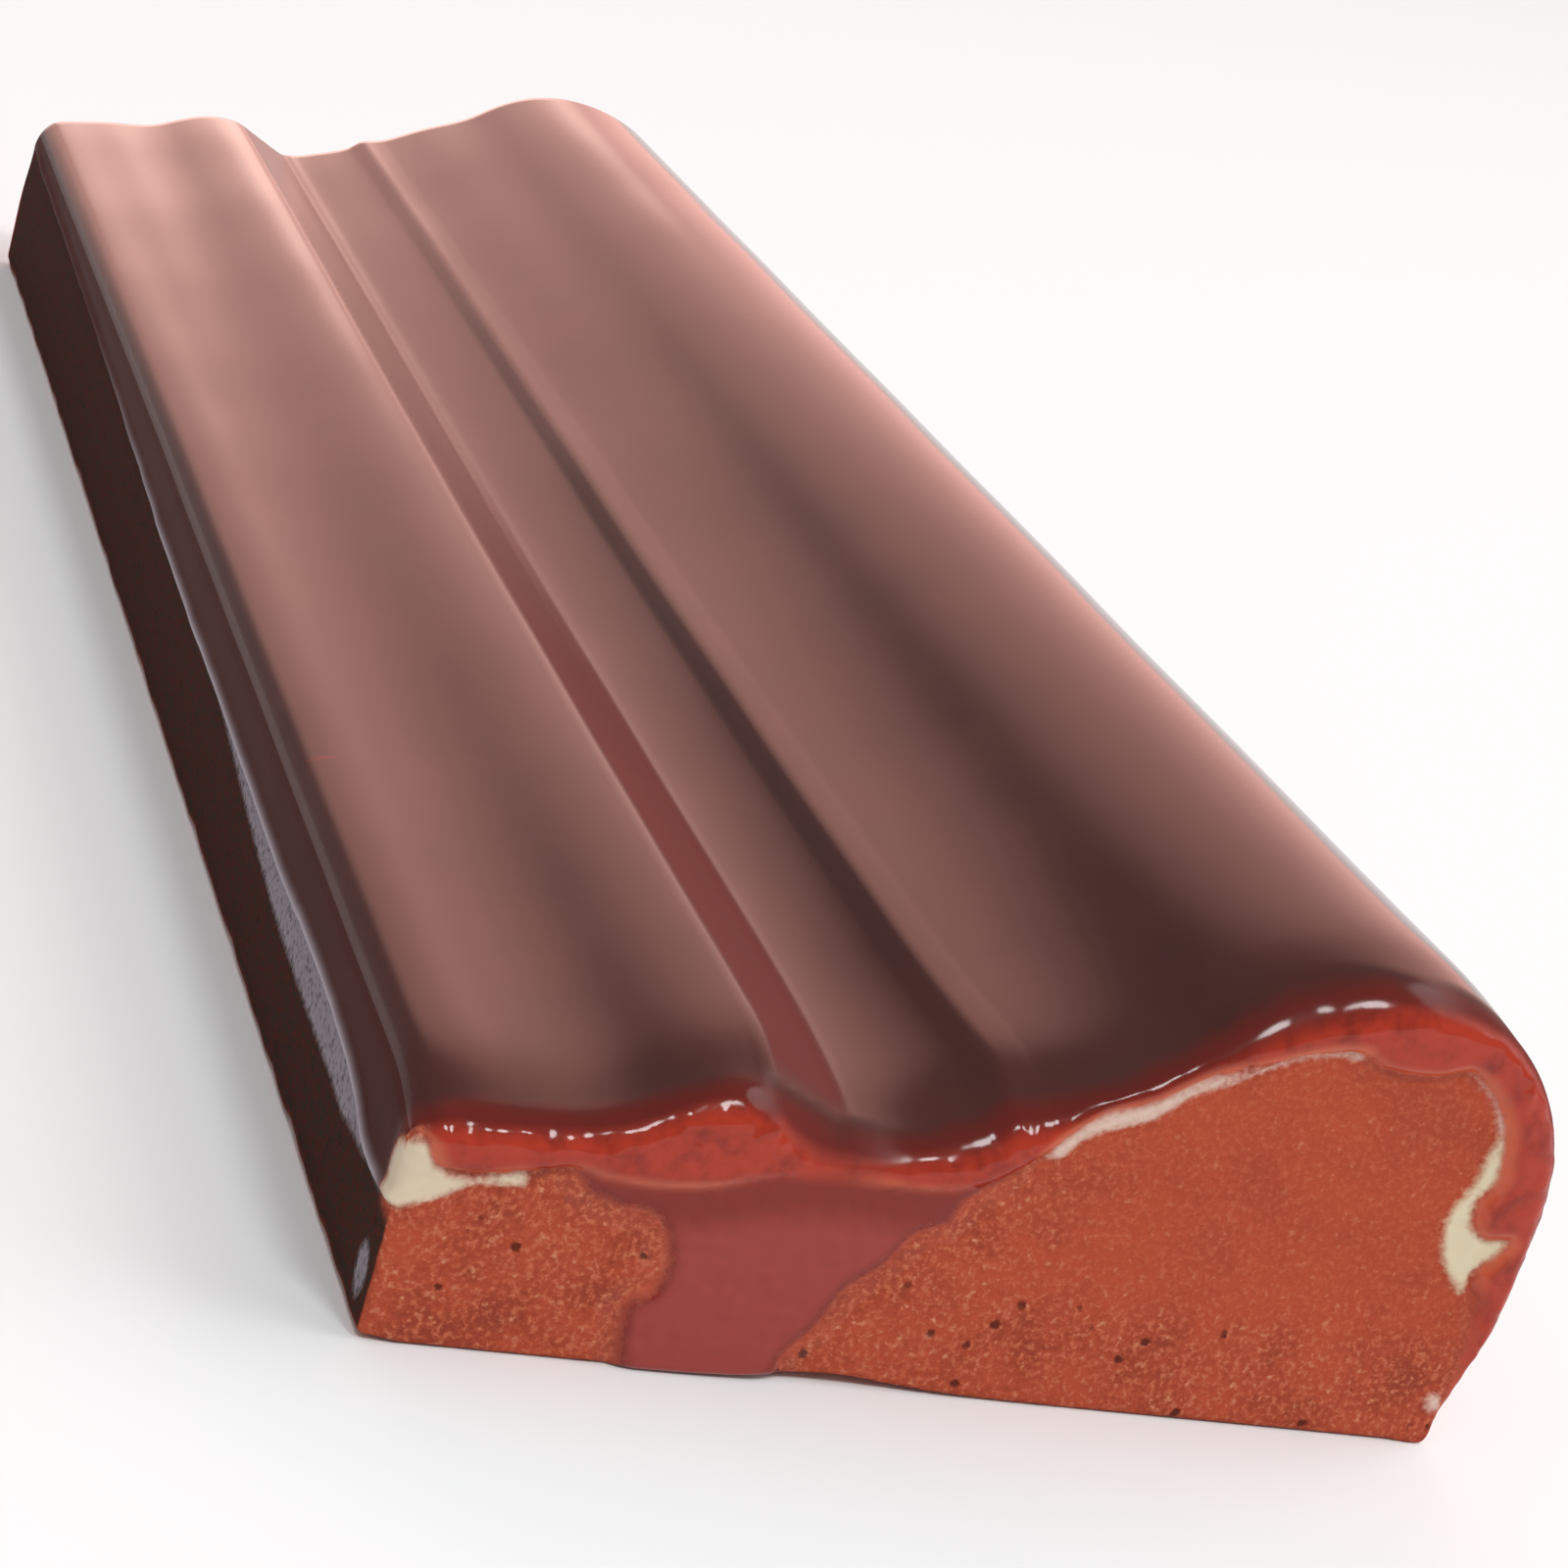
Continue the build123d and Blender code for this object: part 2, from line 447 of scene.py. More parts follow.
def station_shares():
    """Places along the straight part of the rail from 0 to 1, closer together near its ends."""
    places = [0.0]
    step = FIRST_STATION_STEP
    while places[-1] < LENGTH / 2:
        places.append(places[-1] + step)
        step = min(step * STATION_GROWTH, LAST_STATION_STEP)
    half = np.array(places) / places[-1] / 2
    return np.concatenate([half, 1 - half[-2::-1]])


def rings_along(ring, soft):
    """Rings from the near end to the far one: their points, and how square they face away from the end."""
    near, far = end_radii(ring)
    turns = np.linspace(math.pi / 2, 0, ROUNDING_STATIONS)
    points, level = [], []
    for turn in turns[:-1]:
        inset = ring - soft * (near * (1 - math.cos(turn)))[:, None]
        points.append(np.column_stack([inset[:, 0], near * (1 - math.sin(turn)), inset[:, 1]]))
        level.append(np.full(len(ring), math.cos(turn)))
    for share in station_shares():
        points.append(np.column_stack([ring[:, 0], mix(near, LENGTH - far, share), ring[:, 1]]))
        level.append(np.ones(len(ring)))
    for turn in turns[-2::-1]:
        inset = ring - soft * (far * (1 - math.cos(turn)))[:, None]
        points.append(np.column_stack([inset[:, 0], LENGTH - far * (1 - math.sin(turn)), inset[:, 1]]))
        level.append(np.full(len(ring), math.cos(turn)))
    return np.array(points), np.array(level)


def cap(rim, step):
    """Points spread inside a rim, and triangles over the rim's points followed by those."""
    low, high = rim.min(0), rim.max(0)
    rows = np.arange(low[1], high[1], step * math.sqrt(3) / 2)
    columns = np.arange(low[0], high[0], step)
    grid = [(column + step / 2 * (place % 2), row) for place, row in enumerate(rows) for column in columns]
    grid = np.array(grid)
    grid = grid[signed_distance(grid, rim) > step * RIM_GAP_SHARE]
    count = len(rim)
    edges = [(place, (place + 1) % count) for place in range(count)]
    coords = [Vector(point) for point in np.vstack([rim, grid])]
    made = delaunay_2d_cdt(coords, edges, [], 1, CAP_TOLERANCE)
    origins = [origin[0] for origin in made[3]]
    return grid, [tuple(origins[place] for place in face) for face in made[2]]


class Surface:
    """The tile's mesh as arrays: points, and what each one is part of."""

    def __init__(self):
        ring, outward, soft = section_ring()
        rings, level = rings_along(ring, soft)
        layers, count = rings.shape[:2]
        near_grid, near_faces = cap(rings[0][:, (0, 2)], NEAR_CAP_STEP)
        far_grid, far_faces = cap(rings[-1][:, (0, 2)], FAR_CAP_STEP)
        near_points = np.insert(near_grid, 1, 0, axis=1)
        far_points = np.insert(far_grid, 1, LENGTH, axis=1)
        self.points = np.vstack([rings.reshape(-1, 3), near_points, far_points])
        extra = len(near_points) + len(far_points)
        self.sideways = np.concatenate([(level * outward[None, :, 0]).ravel(), np.zeros(extra)])
        self.section = ring
        self.place_across = self.points[:, 0].copy()
        self.faces = []
        for layer in range(layers - 1):
            for place in range(count):
                beside = (place + 1) % count
                here, there = layer * count, (layer + 1) * count
                self.faces.append((here + place, here + beside, there + beside, there + place))
        first_near = layers * count
        first_far = first_near + len(near_points)
        last_ring = (layers - 1) * count
        for face in near_faces:
            self.faces.append(tuple(v if v < count else first_near + v - count for v in face))
        for face in far_faces:
            placed = [last_ring + v if v < count else first_far + v - count for v in face]
            self.faces.append(tuple(reversed(placed)))


def near_fields(across, up):
    """Distances inside the near end's lip, drip and slip, negative outside, and how pink the slip is."""
    points = np.column_stack([across, up])
    lip = -signed_distance(points, near_outline(BELOW_LIP))
    drip = signed_distance(points, near_outline(DRIP))
    slips = [signed_distance(points, near_outline(patch)) for patch in SLIP_PATCHES]
    pink = np.array(SLIP_PINK_SHARES)[np.argmax(slips, axis=0)]
    return lip, drip, np.max(slips, axis=0), pink


def far_fields(across, up, section):
    """Distances inside the coat of the far end, negative outside."""
    points = np.column_stack([across, up])
    depth = signed_distance(points, section)
    depth = np.where(up < depth + BACK_MARGIN, THICKNESS, depth)
    reach = FAR_COAT + FAR_COAT_WAVE * wave(across, 0 * across, up, *FAR_COAT_NOISE)
    for center, width, drop in FAR_DRIPS:
        reach = reach + drop * bell(across, center, width)
    return reach - depth


def roll(distance, width):
    """The profile of a coat's edge: 0 outside, rising as a quarter round to 1 at this width inside."""
    share = np.clip(distance / width, 0, 1)
    return np.sqrt(1 - (1 - share) ** 2)


def smooth_table(value, places, amounts):
    """A smooth curve through a table's points, read at these values."""
    curve = smooth_path(np.column_stack([places, amounts]), TABLE_STEP)
    return np.interp(value, curve[:, 0], curve[:, 1])


def press(surface):
    """Warps the true section as uneven pressing, cutting and breaking did."""
    across, along, up = surface.points.T
    raised = smoothstep(*PRESSED_HEIGHTS, up)
    shift = smooth_table(across, PRESS_PLACES, PRESS_SHIFTS) * bell(along, 0, SHIFT_REACH) * raised
    sag = smooth_table(across, PRESS_PLACES, PRESS_SAGS) * bell(along, 0, SAG_REACH) * raised
    sink = smooth_table(across, PRESS_PLACES, PRESS_SINKS) * bell(along, 0, SINK_REACH) * raised
    rise = smooth_table(across, PRESS_PLACES, PRESS_RISES) * smoothstep(RISE_FROM, LENGTH, along) * raised
    swell = FACE_WAVE * wave(across, along, up, *FACE_WAVE_NOISE) * raised
    arch = ARCH_RISE * bell(across, ARCH_CENTER, ARCH_WIDTH) * np.exp(-along / ARCH_REACH)
    ragged = np.clip(wave(across, along, up, *RAGGED_NOISE) + RAGGED_BIAS, 0, 1)
    chipped = RAGGED_RISE * np.clip(1 - across / RAGGED_REACH, 0, 1) * ragged
    lift = (arch + chipped) * np.clip(1 - up / DAMAGE_HEIGHT, 0, 1)
    surface.points = np.column_stack([across + shift, along, up - sag - sink + rise + swell + lift])


def end_distances(surface):
    """Distances inside the coats on the two ends, far away elsewhere, and how pink the slip is."""
    across, along, up = surface.points.T
    total = len(across)
    near_part = np.flatnonzero(along < END_FADE)
    far_part = np.flatnonzero(along > LENGTH - END_FADE)
    lip, drip, slip, pink = np.array([FAR_AWAY, -FAR_AWAY, -FAR_AWAY, 0])[:, None] * np.ones(total)
    near = near_fields(across[near_part], up[near_part])
    lip[near_part], drip[near_part], slip[near_part], pink[near_part] = near
    far_coat = np.full(total, FAR_AWAY)
    far_coat[far_part] = far_fields(across[far_part], up[far_part], surface.section)
    return lip, drip, slip, pink, far_coat


def wall_distances(surface, on_left_wall):
    """Distances above the glaze's edge on the long walls, and inside the left one's slip and bare spots."""
    across, along, up = surface.points.T
    waves = [amount * wave(0 * across, along, 0 * up, size, seed) for amount, size, seed in EDGE_WAVES]
    ragged = np.sum(waves, axis=0)
    left_edge = smooth_table(along, LEFT_EDGE_PLACES, LEFT_EDGE_HEIGHTS) + LEFT_EDGE_SHARE * ragged
    right_edge = smooth_table(along, RIGHT_EDGE_PLACES, RIGHT_EDGE_HEIGHTS)
    right_edge = right_edge + ragged * smoothstep(*RIGHT_EDGE_STARTS, along)
    wall = up - np.where(across < WIDTH / 2, left_edge, right_edge)
    depth = np.interp(along, LEFT_SLIP_PLACES, LEFT_SLIP_DEPTHS, NO_SLIP, NO_SLIP)
    slip = np.minimum(-wall, depth + SLIP_WAVE_SHARE * ragged + wall)
    spots = np.full(len(across), -FAR_AWAY)
    for place, height, half_length, half_height in LEFT_SPOTS:
        reach = np.hypot((along - place) / half_length, (up - height) / half_height)
        spots = np.maximum(spots, (1 - reach) * half_length)
    return wall, mix(-FAR_AWAY, slip, on_left_wall), mix(-FAR_AWAY, spots, on_left_wall)


def flank_fields(surface):
    """Where the bead's flank lies, and where the glaze is satin: there and on parts of the near rim."""
    along, up = surface.points[:, 1:].T
    place = surface.place_across
    flank = smoothstep(*FLANK_STARTS, place) * smoothstep(*FLANK_ENDS, place) * (up > FLANK_LOW)
    flank = flank * smoothstep(*FLANK_NEAR_STARTS, along)
    flank = flank * mix(1, FLANK_FAR_SHARE, smoothstep(*FLANK_FADES, along))
    satin = smoothstep(*SATIN_FLANK_STARTS, place) * smoothstep(*SATIN_FLANK_ENDS, place)
    satin = satin + smoothstep(*SATIN_NOSE_STARTS, place)
    satin = satin * smoothstep(*SATIN_STARTS, along) * smoothstep(*SATIN_ENDS, along)
    return flank, np.maximum(flank, satin)


def coat_fields(surface):
    """The coats' edges as distances inside them, how thin they are, and where the left wall's shade is
    painted.
    """
    across, along, up = surface.points.T
    on_near = 1 - smoothstep(*END_STARTS, along)
    on_far = 1 - smoothstep(*END_STARTS, LENGTH - along)
    on_left_wall = smoothstep(*WALL_STARTS, -surface.sideways)
    lip, drip, slip, pink, far_coat = end_distances(surface)
    wall, shaded_wall_slip, spots = wall_distances(surface, on_left_wall)
    coat = mix(wall, np.maximum(lip, DRIP_COAT_SHARE * drip), on_near)
    coat = np.minimum(mix(coat, far_coat, on_far), -spots)
    flank, satin = flank_fields(surface)
    rim = 1 - smoothstep(*RIM_ENDS, along)
    far_rim = 1 - smoothstep(FAR_RIM_FROM, FAR_ROUND, LENGTH - along)
    right_rim = (1 - smoothstep(*RIGHT_RIM_ENDS, wall)) * (across >= WIDTH / 2)
    behind = along + BEHIND_RIM_WAVE * wave(across, along, up, *BEHIND_RIM_NOISE)
    # Where the left wall's shade is painted, and where it is rougher
    side = np.maximum(smoothstep(*SIDE_STARTS, along), smoothstep(*SIDE_HEIGHTS, up))
    # A painted highlight along the glaze's edge on the left wall
    ridge_highlight = bell(wall, RIDGE_PLACE, RIDGE_WIDTH)
    ridge_highlight = ridge_highlight * smoothstep(*RIDGE_STARTS, along) * smoothstep(*RIDGE_ENDS, along)
    drip_edge = bell(drip, DRIP_EDGE_PLACE, DRIP_EDGE_WIDTH) * smoothstep(*DRIP_EDGE_ENDS, lip)
    smooth_clay = smoothstep(*SMOOTH_CLAY_STARTS, across) * smoothstep(*SMOOTH_CLAY_HEIGHTS, up)
    return {
        "wall": wall,
        "near_lip": lip,
        "near_drip": drip,
        "far_coat": far_coat,
        "coat": np.clip(coat, -FAR_AWAY, FAR_AWAY),
        "lip": np.clip(lip, -FAR_AWAY, FAR_AWAY),
        "drip": smoothstep(*DRIP_STARTS, drip) * smoothstep(*DRIP_ENDS, lip) * on_near,
        "drip_edge": drip_edge * on_near,
        "slip": np.max([mix(-FAR_AWAY, slip, on_near), shaded_wall_slip, spots], axis=0),
        "pink": pink,
        "thin": np.max([rim, far_rim, right_rim], axis=0),
        "behind_rim": smoothstep(*BEHIND_RIM_ENDS, behind),
        "flank": flank,
        "satin": satin,
        "side": side * on_left_wall,
        "ridge_highlight": ridge_highlight * on_left_wall,
        "grainy": 1 - SMOOTH_CLAY_SHARE * smooth_clay * on_near,
    }


def raise_coats(surface, fields):
    """Lets the coats stand over the bare clay, rolled off at their edges."""
    across, along, up = surface.points.T
    nose_foot = smoothstep(*NOSE_FOOT_HEIGHTS, up) * smoothstep(*NOSE_FOOT_STARTS, across)
    lip = LIP_STAND * roll(fields["near_lip"], LIP_ROLL) * (1 - NOSE_FOOT_SHARE * nose_foot)
    drip = DRIP_STAND * roll(fields["near_drip"], DRIP_ROLL)
    slip = SLIP_STAND * roll(fields["slip"], SLIP_ROLL)
    near_height = np.max([lip, drip, slip], axis=0) - CLAY_RECESS
    far_height = LIP_STAND * roll(fields["far_coat"], LIP_ROLL) - CLAY_RECESS
    near_fade = 1 - smoothstep(0, END_FADE, along)
    far_fade = 1 - smoothstep(0, END_FADE, LENGTH - along)
    left = across < WIDTH / 2
    from_side = np.where(left, across, WIDTH - across)
    wall_height = WALL_BEAD * bell(fields["wall"], WALL_BEAD_WIDTH, WALL_BEAD_WIDTH)
    wall_height = wall_height - WALL_RECESS * smoothstep(*WALL_RECESS_STARTS, fields["wall"])
    wall_height = wall_height * np.clip(1 - from_side / WALL_REACH, 0, 1)
    wall_height = wall_height * np.where(left, 1, smoothstep(*RIGHT_WALL_STARTS, along))
    wall_height = wall_height * smoothstep(*FAR_WALL_STARTS, LENGTH - along)
    calm = CALM_SHARE * smoothstep(*CALM_STARTS, across) * smoothstep(*CALM_ENDS, across)
    bumpy = smoothstep(*RIM_BUMP_STARTS, fields["thin"]) * near_fade * (1 - calm)
    bumps = RIM_BUMP * wave(across, along, up, *RIM_BUMP_NOISE) * bumpy
    across = across + np.where(left, -1, 1) * wall_height
    along = along - (near_height + bumps) * near_fade + far_height * far_fade
    surface.points = np.column_stack([across, along, np.maximum(up + bumps, 0)])


class Nodes:
    """Short names for building a material's nodes."""

    def __init__(self, tree):
        self.tree = tree
        tree.nodes.clear()

    def new(self, kind, inputs=(), **settings):
        node = self.tree.nodes.new(kind)
        for name, value in settings.items():
            setattr(node, name, value)
        for name, value in dict(inputs).items():
            self.feed(node.inputs[name], value)
        return node

    def feed(self, socket, value):
        if isinstance(value, bpy.types.NodeSocket):
            self.tree.links.new(value, socket)
        elif isinstance(value, tuple) and len(value) == 3 and socket.type == "RGBA":
            socket.default_value = (*value, 1)
        else:
            socket.default_value = value

    def field(self, name):
        return self.new("ShaderNodeAttribute", attribute_name=name).outputs["Fac"]

    def math(self, operation, first, second=0.0):
        return self.new("ShaderNodeMath", {0: first, 1: second}, operation=operation).outputs[0]

    def vector(self, operation, first, second=(0, 0, 0)):
        return self.new("ShaderNodeVectorMath", {0: first, 1: second}, operation=operation)

    def step(self, low, high, value):
        inputs = {"Value": value, "From Min": low, "From Max": high}
        node = self.new("ShaderNodeMapRange", inputs, interpolation_type="SMOOTHSTEP")
        return node.outputs["Result"]

    def mix(self, first, second, share):
        node = self.new("ShaderNodeMix", {0: share, 6: first, 7: second}, data_type="RGBA")
        return node.outputs[2]

    def blend(self, first, second, share):
        node = self.new("ShaderNodeMix", {0: share, 2: first, 3: second}, data_type="FLOAT")
        return node.outputs[0]

    def noise(self, place, size, detail, roughness):
        inputs = {"Vector": place, "Scale": 1 / (size * MM), "Detail": detail, "Roughness": roughness}
        return self.new("ShaderNodeTexNoise", inputs).outputs["Fac"]


# Finish
GLAZE_IOR = 1.38
DULL_IOR = 1.12
GLAZE_ROUGHNESS = 0.13
RIM_ROUGHNESS = 0.09
SIDE_ROUGHNESS = 0.55
SATIN_ROUGHNESS = 0.85
SLIP_ROUGHNESS = 0.5
CLAY_ROUGHNESS = 0.95
CLAY_RELIEF = 0.10

# The materials' noises: size in millimetres, detail and roughness
CLAY_GRAIN = (0.30, 4.0, 0.65)
CLAY_BLOTCHES = (4.5, 3.0, 0.6)
CLAY_SPECKS = (0.36, 2.0, 0.5)
GLAZE_STREAKS = (1.5, 3.0, 0.65)
GLAZE_DRIFT = (5.0, 2.0, 0.5)
NOISE_MIDDLE = 0.5

# Where a noise or a field begins to show and shows in full, and how much of it shows
CLAY_TONE_STEP = (0.34, 0.56)
CLAY_LIGHT_STEP = (0.48, 0.68)
BLOTCH_SHARE = 0.6
SPECK_STEP = (0.56, 0.76)
SPECK_GRAIN_STEP = (0.44, 0.62)
PIT_GRAINY_STEP = (0.55, 0.95)
PIT_SHARE = 0.85
STREAK_STEP = (0.4, 0.8)
STREAK_SHARE = 0.7
ROLLED_STEP = (0.7, 0.1)
ROLLED_DRIFT_STEP = (0.4, 0.65)
OVER_SLIP_STEP = (-0.7, 0.0)
ORANGE_SHARE = 0.8
# Where the painted shade under the lip lies on the drip
DRIP_PAINTED_SHADE_STEP = (-2.6, -0.9)
FLANK_RED = 0.75
SLIP_STEP = (-0.15, 0.40)
GLAZE_STEP = (-0.10, 0.16)
# How the grain shows in the left wall's painted shade
WALL_SHADE_GRAIN_STEP = (0.4, 0.6)
WALL_SLIP_STEP = (0.25, 0.55)
EDGE_FRAY = 0.5

# Pits in the clay: the spacing of the places for them, the share of these without one, and their ragged edge
PIT_SPACING = 0.9
PITLESS_SHARE = 0.90
PIT_FRAY = 0.3
PIT_EDGE = (0.46, 0.28)

# Faces that are dull are turned this far to the left, or lie this far outside the coat. Faces that are plain
# lie this far inside it, with less than this of an edge's look. Their places in the list of materials follow
DULL_TURN = 0.90
DULL_COAT = -0.3
PLAIN_COAT = 0.6
PLAIN_EDGE = 0.001
GLAZED, DULL, PLAIN = range(3)

# Colours, linear
GLAZE_DEEP = (0.048, 0.011, 0.008)
GLAZE_BODY = (0.080, 0.018, 0.013)
GLAZE_RED = (0.41, 0.036, 0.016)
GLAZE_DARK_RED = (0.125, 0.010, 0.006)
GLAZE_ORANGE = (0.62, 0.13, 0.060)
# Thin red glaze on the bead's flank, with a painted red reflection of the cove beside it
FLANK_RED_AND_REFLECTION = (0.17, 0.030, 0.024)
DRIP_RED = (0.32, 0.043, 0.034)
# Painted shade on the drip under the lip's overhang
DRIP_PAINTED_SHADE = (0.22, 0.021, 0.012)
DRIP_EDGE = (0.20, 0.016, 0.010)
CLAY_DARK = (0.29, 0.055, 0.032)
CLAY = (0.45, 0.080, 0.040)
CLAY_LIGHT = (0.54, 0.150, 0.080)
CLAY_SPECK = (0.62, 0.25, 0.14)
CLAY_PIT = (0.08, 0.020, 0.014)
SLIP = (0.70, 0.63, 0.43)
SLIP_PINK = (0.66, 0.46, 0.40)
# Painted shade: the left wall's white slip, greyed as if in shadow
WALL_SLIP_IN_SHADE = (0.29, 0.25, 0.285)
# Painted highlight along the glaze's rolled edge on the left wall
WALL_RIDGE_HIGHLIGHT = (0.56, 0.51, 0.57)
# Painted shade: the left wall's bare clay, as dark as if in shadow
WALL_PAINTED_SHADE = (0.036, 0.026, 0.020)

SHADER_FIELDS = (
    "coat", "lip", "drip", "drip_edge", "slip", "pink", "thin", "behind_rim", "flank", "satin", "side",
    "ridge_highlight", "grainy",
)
EDGE_FIELDS = ("thin", "behind_rim", "side", "ridge_highlight")


def new_material(name):
    """A new material and its empty nodes."""
    material = bpy.data.materials.new(name)
    material.use_nodes = True
    return material, Nodes(material.node_tree)


def shade(nodes, kind, inputs):
    """Ends a material's nodes with this kind of shader."""
    shader = nodes.new(kind, inputs)
    nodes.new("ShaderNodeOutputMaterial", {"Surface": shader.outputs[0]})


def pits(nodes, place, grain):
    """How far a point lies in one of the clay's small pits, which the grain makes ragged."""
    cells = nodes.new("ShaderNodeTexVoronoi", {"Vector": place, "Scale": 1 / (PIT_SPACING * MM)})
    chosen = nodes.new("ShaderNodeSeparateColor", {"Color": cells.outputs["Color"]}).outputs[0]
    ragged = nodes.math("ADD", cells.outputs["Distance"], nodes.math("MULTIPLY", grain, PIT_FRAY))
    shown = nodes.math("GREATER_THAN", chosen, PITLESS_SHARE)
    return nodes.math("MULTIPLY", nodes.step(*PIT_EDGE, ragged), shown)


def clay_color(nodes, place, grainy):
    """Fired clay with a fine grain, pale specks and dark pits, its grain, and how high it stands."""
    grain = nodes.noise(place, *CLAY_GRAIN)
    blotch = nodes.noise(place, *CLAY_BLOTCHES)
    speck = nodes.step(*SPECK_STEP, nodes.noise(place, *CLAY_SPECKS))
    speck = nodes.math("MULTIPLY", speck, nodes.step(*SPECK_GRAIN_STEP, grain))
    pit = nodes.math("MULTIPLY", pits(nodes, place, grain), nodes.step(*PIT_GRAINY_STEP, grainy))
    tone = nodes.blend(grain, blotch, BLOTCH_SHARE)
    color = nodes.mix(CLAY_DARK, CLAY, nodes.step(*CLAY_TONE_STEP, tone))
    color = nodes.mix(CLAY, color, grainy)
    light = nodes.math("MULTIPLY", nodes.step(*CLAY_LIGHT_STEP, grain), grainy)
    color = nodes.mix(color, CLAY_LIGHT, light)
    color = nodes.mix(color, CLAY_SPECK, nodes.math("MULTIPLY", speck, grainy))
    color = nodes.mix(color, CLAY_PIT, nodes.math("MULTIPLY", pit, PIT_SHARE))
    return color, grain, nodes.math("SUBTRACT", grain, pit)


def face_color(nodes, drift, flank):
    """The glaze on the face: deep red brown, redder on the bead's flank, partly thin glaze and partly a
    painted reflection.
    """
    body = nodes.mix(GLAZE_DEEP, GLAZE_BODY, drift)
    return nodes.mix(body, FLANK_RED_AND_REFLECTION, nodes.math("MULTIPLY", flank, FLANK_RED))


def scratch(nodes, place):
    """How far a point of the face lies in the short scratch on the lip."""
    away = nodes.vector("SUBTRACT", place, SCRATCH_PLACE * MM).outputs[0]
    shares = nodes.vector("DIVIDE", away, SCRATCH_SIZE * MM).outputs[0]
    return nodes.step(*SCRATCH_ENDS, nodes.vector("LENGTH", shares).outputs["Value"])


def glaze_color(nodes, place, fields):
    """The face's glaze, redder where it is thin at its edges and orange where it is thinnest."""
    drift = nodes.noise(place, *GLAZE_DRIFT)
    body = face_color(nodes, drift, fields["flank"])
    streak = nodes.step(*STREAK_STEP, nodes.noise(place, *GLAZE_STREAKS))
    red = nodes.mix(GLAZE_RED, GLAZE_DARK_RED, nodes.math("MULTIPLY", streak, STREAK_SHARE))
    rolled = nodes.step(*ROLLED_STEP, fields["lip"])
    rolled = nodes.math("MULTIPLY", rolled, nodes.step(*ROLLED_DRIFT_STEP, drift))
    thinnest = nodes.math("MAXIMUM", rolled, nodes.step(*OVER_SLIP_STEP, fields["slip"]))
    red = nodes.mix(red, GLAZE_ORANGE, nodes.math("MULTIPLY", thinnest, ORANGE_SHARE))
    # Painted shade on the drip just under the lip
    hung = nodes.mix(DRIP_RED, DRIP_PAINTED_SHADE, nodes.step(*DRIP_PAINTED_SHADE_STEP, fields["lip"]))
    hung = nodes.mix(hung, DRIP_EDGE, fields["drip_edge"])
    red = nodes.mix(red, hung, fields["drip"])
    return nodes.mix(nodes.mix(body, GLAZE_DARK_RED, fields["behind_rim"]), red, fields["thin"])


def glazed_terracotta(name, ior):
    """Bare clay, slip and red glaze, told apart by the mesh's fields."""
    material, nodes = new_material(name)
    place = nodes.new("ShaderNodeTexCoord").outputs["Object"]
    fields = {field: nodes.field(field) for field in SHADER_FIELDS}
    clay, grain, height = clay_color(nodes, place, fields["grainy"])
    glaze = glaze_color(nodes, place, fields)
    fray = nodes.math("MULTIPLY", nodes.math("SUBTRACT", grain, NOISE_MIDDLE), EDGE_FRAY)
    slipped = nodes.step(*SLIP_STEP, nodes.math("ADD", fields["slip"], fray))
    glazed = nodes.step(*GLAZE_STEP, nodes.math("ADD", fields["coat"], fray))
    # Painted shade on the left wall: its bare clay darkened as if in shadow, grained with the pits' colour
    shaded_clay = nodes.mix(WALL_PAINTED_SHADE, CLAY_PIT, nodes.step(*WALL_SHADE_GRAIN_STEP, grain))
    # Painted shade on the left wall's slip, greyed as if in shadow
    shaded_wall_slip = nodes.mix(WALL_PAINTED_SHADE, WALL_SLIP_IN_SHADE, nodes.step(*WALL_SLIP_STEP, grain))
    slip = nodes.mix(nodes.mix(SLIP, SLIP_PINK, fields["pink"]), shaded_wall_slip, fields["side"])
    ground = nodes.mix(nodes.mix(clay, shaded_clay, fields["side"]), slip, slipped)
    color = nodes.mix(ground, glaze, glazed)
    # A painted highlight on the left wall's ridge
    color = nodes.mix(color, WALL_RIDGE_HIGHLIGHT, fields["ridge_highlight"])
    polish = nodes.blend(GLAZE_ROUGHNESS, RIM_ROUGHNESS, fields["thin"])
    polish = nodes.blend(polish, SIDE_ROUGHNESS, fields["side"])
    polish = nodes.blend(polish, SATIN_ROUGHNESS, fields["satin"])
    roughness = nodes.blend(nodes.blend(CLAY_ROUGHNESS, SLIP_ROUGHNESS, slipped), polish, glazed)
    bare = nodes.math("SUBTRACT", 1.0, nodes.math("MAXIMUM", glazed, slipped))
    relief = nodes.math("MULTIPLY", height, bare)
    bump = nodes.new("ShaderNodeBump", {"Height": relief, "Distance": CLAY_RELIEF * MM})
    shade(nodes, "ShaderNodeBsdfPrincipled", {
        "Base Color": color,
        "Roughness": roughness,
        "Normal": bump.outputs["Normal"],
        "IOR": ior,
    })
    return material


def face_glaze(name):
    """The glaze on the face, away from its edges."""
    material, nodes = new_material(name)
    place = nodes.new("ShaderNodeTexCoord").outputs["Object"]
    flank = nodes.field("flank")
    color = face_color(nodes, nodes.noise(place, *GLAZE_DRIFT), flank)
    shade(nodes, "ShaderNodeBsdfPrincipled", {
        "Base Color": nodes.mix(color, GLAZE_DARK_RED, scratch(nodes, place)),
        "Roughness": nodes.blend(GLAZE_ROUGHNESS, SATIN_ROUGHNESS, flank),
        "IOR": GLAZE_IOR,
    })
    return material


